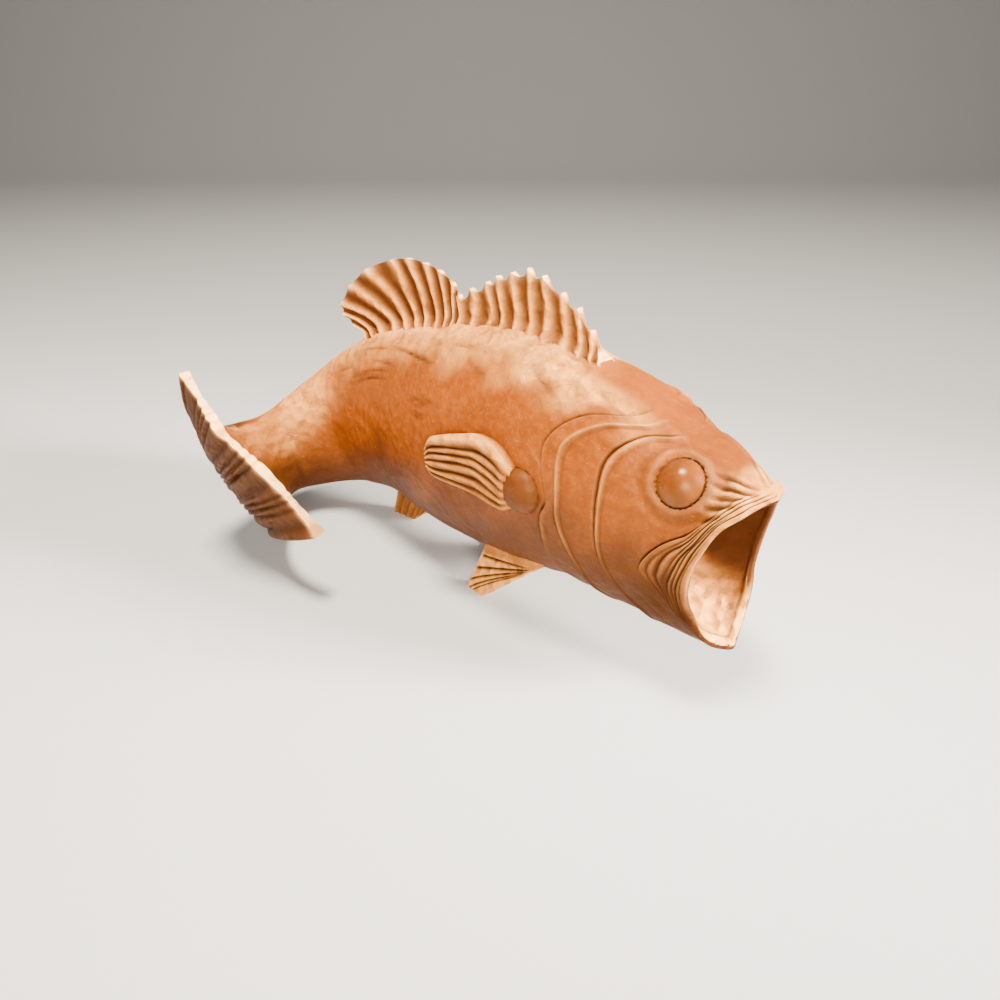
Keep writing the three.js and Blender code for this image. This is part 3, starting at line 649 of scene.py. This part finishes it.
def pectoralFin(side):
    def middle(u, v):
        outline = throughPoints(pectoral["outline"], (1 - u) * (len(pectoral["outline"]) - 1))
        station, topAngle, bottomAngle = np.moveaxis(outline, -1, 0)
        angle = side * between(topAngle, bottomAngle, v)
        outside = skin(station, angle, pectoral["rise"])
        inside = skin(station, angle, -pectoral["sink"])
        return (outside + inside) / 2, unit(outside - inside)

    # the top ray is broad and smooth, the others are narrow with sharp grooves between
    def crest(u, v):
        wander = 0.012 * np.sin(u * 6 + v * 8) + 0.006 * np.sin(u * 17 + v * 31)
        ray = np.interp(v + wander, [0, pectoral["topRay"], 1], [0, 1, pectoral["rays"]])
        return np.abs(np.sin(ray * math.pi)) ** 0.6

    def half(u, v):
        lost = (1 - crest(u, v)) * easeStep(v, 0.12, 0.2)
        groove = pectoral["groove"] * lost * easeStep(u, 0.06, 0.25) * (0.85 + 0.15 * np.sin(u * 11 + v * 14))
        rounding = 1.2 * np.abs(2 * v - 1) ** 5 + 1.6 * (1 - easeStep(u, 0, 0.12))
        hump = 0.9 * np.exp(-(((v - 0.14) / 0.13) ** 2)) * easeStep(u, 0.1, 0.5) * (1 - easeStep(u, 0.8, 1))
        size = (pectoral["rise"] + pectoral["sink"]) / 2
        return size - groove - rounding + hump, np.full_like(u, size)

    # painted shade in the grooves between the rays
    def dark(u, v, side):
        return 0.75 * (1 - crest(u, v)) ** 0.8 * easeStep(v, 0.12, 0.2) * easeStep(u, 0.02, 0.15)

    def raw(u, v, side):
        return 0.4 * crest(u, v) + 0.6 * (1 - easeStep(v, 0.08, 0.24))

    return madePlate("pectoralFin" + ("Right" if side > 0 else "Left"), 40, 60, middle, half, raw, dark)


# A cushion on the skin: eyes and pads. Its buried half is flatter, so that it stays inside the mouth's wall.
# Gives the object, its centre, outward direction and turn.
knobDepth = 5.2


def knob(name, station, angle, radius, rise, roundness=1.0, tilt=0.0, raw=0.0, dark=0.0, segments=56):
    base = skin(station, angle)
    along = skin(station + 0.1, angle) - skin(station - 0.1, angle)
    around = skin(station, angle + 4) - skin(station, angle - 4)
    out = unit(unit(np.cross(around, along)) + unit(along) * tilt)
    turn = Vector((0, 0, 1)).rotation_difference(Vector(out))
    half = radius * roundness
    centre = base + out * (rise - half)
    buriedShare = min(1, (knobDepth + rise - half) / half)
    points, faces = [], []
    rings = segments // 2
    for ring in range(1, rings):
        lean = math.pi * ring / rings
        for k in range(segments):
            spin = 2 * math.pi * k / segments
            local = Vector((math.sin(lean) * math.cos(spin) * radius, math.sin(lean) * math.sin(spin) * radius,
                            math.cos(lean) * half * (buriedShare if math.cos(lean) < 0 else 1)))
            local.rotate(turn)
            points.append(centre + np.array(local))
    top, bottom = len(points), len(points) + 1
    points += [centre + out * half, centre - out * half * buriedShare]
    for k in range(segments):
        n = (k + 1) % segments
        faces.append((top, k, n))
        faces.append((bottom, (rings - 2) * segments + n, (rings - 2) * segments + k))
        for ring in range(rings - 2):
            faces.append((ring * segments + k, (ring + 1) * segments + k, (ring + 1) * segments + n, ring * segments + n))
    return madeObject(name, np.array(points), faces, raw=raw, dark=dark), centre, out, turn


# The skin round an eye, as points in the eye's own directions from its centre.
def skinRoundEye(station, angle, centre, turn):
    stations = np.linspace(station - 1.3, station + 1.3, 90)
    angles = np.linspace(angle - 30, angle + 30, 90)
    stations, angles = np.meshgrid(stations, angles)
    grid = skin(stations, angles, fineRelief(stations, angles)).reshape(-1, 3) - centre
    axes = np.array([np.array(turn @ Vector(axis)) for axis in ((1, 0, 0), (0, 1, 0), (0, 0, 1))])
    return grid @ axes.T


def skinUnderEye(field, reach, spin):
    away = np.hypot(field[:, 0] - reach * math.cos(spin), field[:, 1] - reach * math.sin(spin))
    return field[np.argmin(away), 2]


# The fine stippled groove round an eye, where its dome meets the lid, cut out of the joined carving.
def eyeGroove(name, station, angle, centre, turn, radius, half):
    segments, round_ = 96, 10
    field = skinRoundEye(station, angle, centre, turn)
    rings = []
    for k in range(segments):
        spin = 2 * math.pi * k / segments
        reach = radius * 0.9
        for _ in range(4):
            height = skinUnderEye(field, reach, spin)
            reach = math.sqrt(max(radius**2 - height**2, 9.0))
        rings.append((reach, height))
    points, faces = [], []
    for k in range(segments):
        spin = 2 * math.pi * k / segments
        reach, height = np.mean([rings[(k + step) % segments] for step in range(-4, 5)], axis=0)
        width = half * (1 + 0.25 * math.sin(spin * 31) + 0.15 * math.sin(spin * 17 + 1))
        for m in range(round_):
            lean = 2 * math.pi * m / round_
            local = Vector(((reach + width * math.cos(lean)) * math.cos(spin),
                            (reach + width * math.cos(lean)) * math.sin(spin), height + 2.0 * width * math.sin(lean)))
            local.rotate(turn)
            points.append(centre + np.array(local))
            faces.append((k * round_ + m, ((k + 1) % segments) * round_ + m,
                          ((k + 1) % segments) * round_ + (m + 1) % round_, k * round_ + (m + 1) % round_))
    # the groove is painted dark: painted shade in the cut
    return madeObject(name, np.array(points), faces, dark=0.75)


pelvic = {
    "rear": 4.7,
    "front": 5.95,
    "angle": 148,
    "sink": 5,
    "foot": (11.2, -10.8, -2),
    "halfLength": 4.2,
    "footHalf": 2.2,
    "rootHalf": 3.6,
    "lineStep": 0.22,
}


def pelvicFin(side):
    centre, ahead, _, right, _, _ = cutAt(5.0)
    along = unit(np.array([ahead[0], ahead[1], 0.0]))
    outward = unit(np.array([right[0], right[1], 0.0])) * side
    foot = np.array(pelvic["foot"], float)
    if side < 0:
        foot = foot + outward * 2 * ((foot - centre) @ right)

    def middle(u, v):
        top = skin(between(pelvic["rear"], pelvic["front"], u), side * pelvic["angle"], -pelvic["sink"])
        bottom = foot + along * (pelvic["halfLength"] * (2 * u - 1))[..., None]
        return between(top, bottom, v[..., None]), np.broadcast_to(outward, top.shape)

    def half(u, v):
        size = between(pelvic["rootHalf"], pelvic["footHalf"], v)
        size = size + 1.0 * np.exp(-((v / 0.22) ** 2))
        edge = 0.7 * np.abs(2 * u - 1) ** 8
        cut = 0.75 * fanLine(u, v)
        return size - cut - edge, size - cut - edge

    # the lines spread like a fan from the front of the root
    def fanLine(u, v):
        spread = (v - 0.2) / (1.12 - u)
        away = np.abs((spread / pelvic["lineStep"]) % 1 - 0.5) * pelvic["lineStep"] * (1.12 - u)
        inFan = easeStep(v, 0.2, 0.28) * (1 - easeStep(u, 0.85, 0.97)) * easeStep(u, 0, 0.08)
        inFan = inFan * (1 - easeStep(spread, 1.0, 1.15))
        return np.exp(-((away / 0.022) ** 2)) * inFan

    # paler towards the foot: partly dry pale wood, partly painted light on a fin that sits in the shade of the belly;
    # the fan lines are painted dark: painted shade in the cuts
    return madePlate("pelvicFin" + ("Right" if side > 0 else "Left"), 36, 52, middle, half,
                     lambda u, v, side: between(0.3, 1.8, easeStep(v, 0.18, 0.34)),
                     lambda u, v, side: 0.95 * fanLine(u, v))


# Joins or cuts with all the given parts at once.
def joined(base, others, operation):
    for other in others:
        modifier = base.modifiers.new(operation, "BOOLEAN")
        modifier.operation = operation
        modifier.solver = "MANIFOLD"
        modifier.object = other
    depsgraph = bpy.context.evaluated_depsgraph_get()
    mesh = bpy.data.meshes.new_from_object(base.evaluated_get(depsgraph))
    base.modifiers.clear()
    base.data = mesh
    for other in others:
        bpy.data.objects.remove(other)
    return base


carving = madeBody()
carving.name = "bassFigureCarving"
parts, grooves = [], []
for side in (1, -1):
    sideName = "Right" if side > 0 else "Left"
    angle = eye["angles"][side]
    ball, centre, out, turn = knob("eye" + sideName, eye["station"], angle, eye["radius"], eye["rise"], 1.0,
                                   eye["tilt"], raw=-0.5, dark=0.34, segments=72)
    grooves.append(eyeGroove("eyeGroove" + sideName, eye["station"], angle, centre, turn, eye["radius"],
                             eye["grooveHalf"]))
    station, padAngle, radius, rise, roundness = pectoral["pad"]
    # painted shade: the pad is darker, like the shaded side of the head below it
    pad, _, _, _ = knob("pad" + sideName, station, side * padAngle, radius, rise, roundness, raw=-0.1, dark=0.5)
    parts += [ball, pectoralFin(side), pelvicFin(side), pad]
parts += [spinyDorsal(), softDorsal(), analFin(), tailFin()]
ground = madeObject("ground", np.array([[x, y, z] for x in (-200, 200) for y in (-200, 200) for z in (-40, 0)], float),
                    [(0, 1, 3, 2), (4, 6, 7, 5), (0, 4, 5, 1), (2, 3, 7, 6), (0, 2, 6, 4), (1, 5, 7, 3)], raw=0.3)
print("parts made", sum(len(points) for points in sources["points"]), "points")
joined(carving, parts, "UNION")
joined(carving, grooves + [ground], "DIFFERENCE")


# Rubs the joined surface smooth where a part runs into another; share gives how much at each point, 0 to 1.
def rubSmooth(made, share, rounds):
    mesh = made.data
    count = len(mesh.vertices)
    points = np.empty(count * 3)
    mesh.vertices.foreach_get("co", points)
    points = points.reshape(-1, 3)
    edges = np.empty(len(mesh.edges) * 2, int)
    mesh.edges.foreach_get("vertices", edges)
    edges = edges.reshape(-1, 2)
    weight = share(points * 1000 - originShift)[:, None]
    near = weight[edges].max(axis=(1, 2)) > 0
    edges = edges[near]
    number = np.maximum(np.bincount(edges.ravel(), minlength=count), 1)[:, None]
    for _ in range(rounds):
        total = np.zeros_like(points)
        np.add.at(total, edges[:, 0], points[edges[:, 1]])
        np.add.at(total, edges[:, 1], points[edges[:, 0]])
        points = points + 0.5 * weight * (total / number - points)
    mesh.vertices.foreach_set("co", points.ravel())
    mesh.update()


def tailRootShare(points):
    x, y = points[:, 0], points[:, 1]
    return easeStep(y, 24, 34) * easeStep(x, -86, -78) * (1 - easeStep(x, -60, -50))


def chinShare(points):
    x, z = points[:, 0], points[:, 2]
    return easeStep(x, 84, 92) * (1 - easeStep(z, 22, 34))


rubSmooth(carving, tailRootShare, 60)
rubSmooth(carving, chinShare, 50)
print("carving joined", len(carving.data.vertices), "points", len(carving.data.polygons), "faces")


# Passes the marks of each part on to the joined carving, and finds its hollows and worn ridges.
def markWood(made):
    mesh = made.data
    count = len(mesh.vertices)
    points = np.empty(count * 3)
    mesh.vertices.foreach_get("co", points)
    points = points.reshape(-1, 3) * 1000 - originShift
    allPoints = np.concatenate(sources["points"])
    tree = KDTree(len(allPoints))
    for k, point in enumerate(allPoints):
        tree.insert(point, k)
    tree.balance()
    nearest = np.array([tree.find(point)[1] for point in points])
    edges = np.empty(len(mesh.edges) * 2, int)
    mesh.edges.foreach_get("vertices", edges)
    edges = edges.reshape(-1, 2)
    normals = np.empty(count * 3)
    mesh.vertices.foreach_get("normal", normals)
    normals = normals.reshape(-1, 3)
    span = points[edges[:, 1]] - points[edges[:, 0]]
    length = np.maximum(np.linalg.norm(span, axis=1), 0.05)
    bend = np.zeros(count)
    weight = np.zeros(count)
    for own, sign in ((0, 1), (1, -1)):
        value = np.einsum("ij,ij->i", span * sign, normals[edges[:, own]]) / length
        np.add.at(bend, edges[:, own], value)
        np.add.at(weight, edges[:, own], 1)
    bend = bend / np.maximum(weight, 1)
    for _ in range(2):
        total = bend.copy()
        weight = np.ones(count)
        for own, other in ((0, 1), (1, 0)):
            np.add.at(total, edges[:, own], bend[edges[:, other]])
            np.add.at(weight, edges[:, own], 1)
        bend = total / weight
    # the hollows are darkened in the material: partly old oil, partly painted shade
    marks = {"hollow": np.clip(bend * 5 - 0.04, 0, 1), "ridge": np.clip(-bend * 5 - 0.12, 0, 1)}
    for name in ("raw", "dark"):
        marks[name] = np.concatenate(sources[name])[nearest]
    for name, values in marks.items():
        attribute = mesh.attributes.new(name, "FLOAT", "POINT")
        attribute.data.foreach_set("value", values.astype(np.float32))
    return marks


marks = markWood(carving)
carving.data.polygons.foreach_set("use_smooth", [True] * len(carving.data.polygons))
carving.data.set_sharp_from_angle(angle=math.radians(42))
print("wood marked, mean hollow", round(float(marks["hollow"].mean()), 3))


def newMaterial(name):
    material = bpy.data.materials.new(name)
    material.use_nodes = True
    nodes, links = material.node_tree.nodes, material.node_tree.links
    nodes.clear()
    return material, nodes, links


class Wiring:
    def __init__(self, nodes, links):
        self.nodes, self.links = nodes, links

    def add(self, kind, **settings):
        node = self.nodes.new(kind)
        for name, value in settings.items():
            setattr(node, name, value)
        return node

    def put(self, source, target):
        if isinstance(source, bpy.types.NodeSocket):
            self.links.new(source, target)
        else:
            target.default_value = source

    def math(self, operation, first, second=0.0, clamp=False):
        node = self.add("ShaderNodeMath", operation=operation, use_clamp=clamp)
        self.put(first, node.inputs[0])
        self.put(second, node.inputs[1])
        return node.outputs[0]

    def mix(self, factor, first, second, blend="MIX"):
        node = self.add("ShaderNodeMix", data_type="RGBA", blend_type=blend)
        self.put(factor, node.inputs[0])
        self.put(first, node.inputs[6])
        self.put(second, node.inputs[7])
        return node.outputs[2]

    def ramp(self, value, low, high):
        node = self.add("ShaderNodeMapRange", clamp=True)
        self.put(value, node.inputs[0])
        node.inputs[1].default_value = low
        node.inputs[2].default_value = high
        return node.outputs[0]

    def noise(self, vector, scale, detail=3.0, rough=0.55):
        node = self.add("ShaderNodeTexNoise")
        self.put(vector, node.inputs["Vector"])
        node.inputs["Scale"].default_value = scale
        node.inputs["Detail"].default_value = detail
        node.inputs["Roughness"].default_value = rough
        return node.outputs["Fac"]

    def stretched(self, vector, scale):
        node = self.add("ShaderNodeMapping")
        self.put(vector, node.inputs["Vector"])
        node.inputs["Scale"].default_value = scale
        return node.outputs["Vector"]

    def mark(self, name):
        return self.add("ShaderNodeAttribute", attribute_name=name).outputs["Fac"]


# The hollow colour and the dirt colour stand for painted shade as well as for old oil and dirt.
wood = {
    "oiled": (0.31, 0.063, 0.0015, 1),
    "oiledDeep": (0.19, 0.037, 0.001, 1),
    "grain": (0.115, 0.021, 0.001, 1),
    "dry": (0.84, 0.33, 0.065, 1),
    "worn": (0.95, 0.50, 0.19, 1),
    "hollow": (0.045, 0.012, 0.005, 1),
    "dirtAndShade": (0.055, 0.0165, 0.0045, 1),
    "pore": (0.10, 0.025, 0.006, 1),
}


def woodMaterial():
    material, nodes, links = newMaterial("oiledRedwood")
    w = Wiring(nodes, links)
    place = w.add("ShaderNodeTexCoord").outputs["Object"]
    finish, hollow, ridge, dark = (w.mark(name) for name in ("raw", "hollow", "ridge", "dark"))
    raw = w.math("MAXIMUM", finish, 0.0)

    cloud = w.noise(place, 30.0, 4.0)
    blotch = w.noise(place, 95.0, 4.0, 0.65)
    mottle = w.noise(place, 420.0, 4.0, 0.7)
    grain = w.noise(w.stretched(place, (0.16, 1.0, 1.0)), 260.0, 4.0, 0.6)
    fibre = w.noise(w.stretched(place, (0.07, 1.0, 1.0)), 1500.0, 3.0, 0.6)
    speck = w.noise(w.stretched(place, (0.5, 1.0, 1.0)), 1300.0, 2.0, 0.5)
    darkSpecks, paleSpecks = w.ramp(speck, 0.66, 0.76), w.ramp(speck, 0.36, 0.26)

    base = w.mix(w.ramp(cloud, 0.3, 0.7), wood["oiledDeep"], wood["oiled"])
    base = w.mix(w.math("MULTIPLY", w.ramp(grain, 0.35, 0.75), 0.3), base, wood["grain"])
    base = w.mix(w.math("MULTIPLY", w.ramp(mottle, 0.48, 0.68), 0.32), base, wood["grain"])
    base = w.mix(w.math("MULTIPLY", w.ramp(mottle, 0.5, 0.3), 0.08), base, wood["dry"])
    # dry wood is paler, most of all on worn ridges; the same mix paints light onto the pelvic fins, the stem top, the
    # shoulders and the mouth's floor
    patchy = w.math("ADD", w.ramp(blotch, 0.25, 0.6), w.math("MULTIPLY", w.ramp(mottle, 0.4, 0.6), 0.3), clamp=True)
    base = w.mix(w.math("MULTIPLY", w.math("MULTIPLY", raw, patchy), 0.95), base, wood["dry"])
    base = w.mix(w.math("MULTIPLY", paleSpecks, 0.16), base, wood["dry"])
    worn = w.math("MULTIPLY", ridge, w.math("ADD", w.math("MULTIPLY", raw, 0.75), 0.25), clamp=True)
    base = w.mix(worn, base, wood["worn"])
    # the knife has lifted small flakes where the wood is dry
    chips = w.add("ShaderNodeTexVoronoi", feature="DISTANCE_TO_EDGE")
    w.put(w.stretched(place, (0.6, 1.0, 1.0)), chips.inputs["Vector"])
    chips.inputs["Scale"].default_value = 210
    flake = w.math("MULTIPLY", w.ramp(chips.outputs["Distance"], 0.06, 0.0), w.ramp(w.noise(place, 170.0), 0.54, 0.64))
    flake = w.math("MULTIPLY", flake, w.ramp(finish, 0.2, 0.5))
    base = w.mix(w.math("MULTIPLY", flake, 0.3), base, wood["grain"])
    # old oil and dust darken the hollows, together with painted shade there; the dark mark paints stain and dirt, and
    # painted shade under the fish, on the head, inside the mouth and in cuts and grooves
    base = w.mix(w.math("MULTIPLY", hollow, 0.85), base, wood["hollow"])
    left = w.math("SUBTRACT", 1.0, dark, clamp=True)
    base = w.mix(w.math("SUBTRACT", 1.0, w.math("MULTIPLY", left, left)), base, wood["dirtAndShade"])
    base = w.mix(w.math("MULTIPLY", darkSpecks, 0.4), base, wood["pore"])

    shine = w.math("ADD", 0.40, w.math("MULTIPLY", finish, 0.30))
    shine = w.math("ADD", shine, w.math("MULTIPLY", w.ramp(blotch, 0.3, 0.8), 0.12))
    shine = w.math("ADD", shine, w.math("MULTIPLY", hollow, 0.2), clamp=True)

    facet = w.add("ShaderNodeTexVoronoi", feature="SMOOTH_F1")
    w.put(place, facet.inputs["Vector"])
    facet.inputs["Scale"].default_value = 230
    facet.inputs["Smoothness"].default_value = 0.3
    toolDepth = w.math("ADD", 0.0006, w.math("MULTIPLY", raw, 0.0022))
    height = w.math("MULTIPLY", facet.outputs["Distance"], toolDepth)
    height = w.math("ADD", height, w.math("MULTIPLY", fibre, 0.00004))
    height = w.math("ADD", height, w.math("MULTIPLY", mottle, 0.0005))
    height = w.math("SUBTRACT", height, w.math("MULTIPLY", darkSpecks, 0.00012))
    height = w.math("SUBTRACT", height, w.math("MULTIPLY", flake, 0.0003))
    rough = w.math("MULTIPLY", w.noise(place, 900.0, 4.0, 0.7), w.math("ADD", 0.2, raw))
    height = w.math("ADD", height, w.math("MULTIPLY", rough, 0.0005))
    height = w.math("MULTIPLY", height, w.ramp(finish, -0.5, 0.0))
    bump = w.add("ShaderNodeBump")
    bump.inputs["Strength"].default_value = 0.7
    bump.inputs["Distance"].default_value = 1.0
    w.put(height, bump.inputs["Height"])

    shader = w.add("ShaderNodeBsdfPrincipled")
    w.put(base, shader.inputs["Base Color"])
    w.put(shine, shader.inputs["Roughness"])
    w.put(bump.outputs["Normal"], shader.inputs["Normal"])
    # oiled wood shines a little, polished wood more, dry wood and wood marked dark (dirt and painted shade) hardly
    gloss = w.math("SUBTRACT", 0.24, w.math("MULTIPLY", finish, 0.45), clamp=True)
    w.put(w.math("ADD", w.math("MULTIPLY", gloss, left), 0.03), shader.inputs["Specular IOR Level"])
    shader.inputs["Specular Tint"].default_value = (1.0, 0.64, 0.3, 1)
    output = w.add("ShaderNodeOutputMaterial")
    w.put(shader.outputs["BSDF"], output.inputs["Surface"])
    return material


carving.data.materials.clear()
carving.data.materials.append(woodMaterial())
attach(carving, "root")
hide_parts("bass_figure")
carving.data.calc_loop_triangles()
print("carving finished,", len(carving.data.loop_triangles), "triangles")


# A pale floor that sweeps up behind into a plain backdrop.
def studioFloor():
    material, nodes, links = newMaterial("paleFloor")
    w = Wiring(nodes, links)
    shader = w.add("ShaderNodeBsdfPrincipled")
    shader.inputs["Base Color"].default_value = (0.42, 0.405, 0.38, 1)
    shader.inputs["Roughness"].default_value = 0.7
    output = w.add("ShaderNodeOutputMaterial")
    w.put(shader.outputs["BSDF"], output.inputs["Surface"])
    profile = [(-3.0, 0.0), (1.2, 0.0)]
    profile += [(1.2 + 0.8 * math.sin(t), 0.8 - 0.8 * math.cos(t)) for t in np.linspace(0.1, math.pi / 2, 16)]
    profile += [(2.0, 3.5)]
    points = [(x, y, z) for y, z in profile for x in (-4.0, 4.0)]
    faces = [(2 * k, 2 * k + 1, 2 * k + 3, 2 * k + 2) for k in range(len(profile) - 1)]
    mesh = bpy.data.meshes.new("floor")
    mesh.from_pydata(points, [], faces)
    mesh.polygons.foreach_set("use_smooth", [True] * len(mesh.polygons))
    mesh.materials.append(material)
    floor = bpy.data.objects.new("floor", mesh)
    bpy.context.scene.collection.objects.link(floor)


def areaLight(name, place, target, size, power, tint, spread=180):
    light = bpy.data.lights.new(name, "AREA")
    light.spread = math.radians(spread)
    light.shape = "DISK"
    light.size = size
    light.energy = power
    light.color = tint
    holder = bpy.data.objects.new(name, light)
    holder.location = place
    holder.rotation_euler = (Vector(target) - Vector(place)).to_track_quat("-Z", "Y").to_euler()
    bpy.context.scene.collection.objects.link(holder)
    return holder


studioFloor()
areaLight("keyLight", (-0.04, -0.14, 0.95), (-0.01, 0, 0.05), 0.24, 36, (1.0, 0.94, 0.84))
mouthLight = areaLight("mouthLight", (0.78, -0.22, 0.33), (0.083, -0.063, 0.035), 0.3, 3.2, (1.0, 0.95, 0.88), 30)
mouthLight.visible_glossy = False
areaLight("fillLight", (0.06, -0.88, 0.42), (-0.02, 0, 0.05), 0.5, 20, (1.0, 0.97, 0.93))
world = bpy.data.worlds.new("softWorld")
bpy.context.scene.world = world
world.use_nodes = True
world.node_tree.nodes["Background"].inputs["Color"].default_value = (0.95, 0.93, 0.9, 1)
world.node_tree.nodes["Background"].inputs["Strength"].default_value = 0.22

cameraData = bpy.data.cameras.new("camera")
cameraData.sensor_width = 36
cameraData.lens = 27.04
camera = bpy.data.objects.new("camera", cameraData)
camera.location = (0.017342, -0.245358, 0.176)
camera.rotation_euler = (math.radians(60), 0, 0)
bpy.context.scene.collection.objects.link(camera)
bpy.context.scene.camera = camera
print("floor, lights and camera set")
